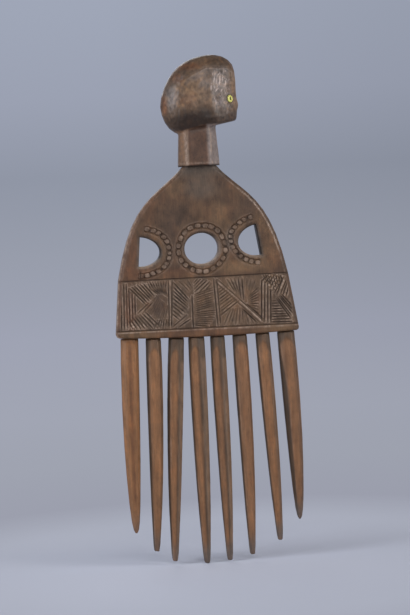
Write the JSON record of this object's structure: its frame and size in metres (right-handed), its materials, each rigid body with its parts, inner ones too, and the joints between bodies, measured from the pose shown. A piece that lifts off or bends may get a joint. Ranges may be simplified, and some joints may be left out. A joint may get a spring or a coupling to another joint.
{
  "type": "anthropomorphic comb",
  "caption": "Carved wooden hair comb with long whittled teeth under a pierced, arched plate with a hatched band, topped by a stylised head in profile with inlaid bead eyes.",
  "frame": {"origin": "bottom centre of the bounding box, level with the longest tooth's tip", "axes": "+Z from the teeth's tips up to the crown of the head; +X towards the face's nose, along the row of teeth; the carved face of the plate looks along -Y"},
  "size_m": [0.0649, 0.0172, 0.1807],
  "materials": {
    "patinated_wood": "hand-polished dark patina",
    "worn_wood": "whittled, worn to a satin sheen",
    "yellow_glass": "opaque gloss",
    "blackened_wood": "blackened"
  },
  "bodies": {
    "root": {"comb_plate": "patinated_wood", "tooth_1": "worn_wood", "tooth_2": "worn_wood", "tooth_3": "worn_wood", "tooth_4": "worn_wood", "tooth_5": "worn_wood", "tooth_6": "worn_wood", "tooth_7": "worn_wood", "tooth_8": "worn_wood", "head_finial": "patinated_wood", "eye_bead_front": "yellow_glass", "eye_bead_back": "yellow_glass", "eye_pin_front": "blackened_wood", "eye_pin_back": "blackened_wood"}
  },
  "joints": []
}
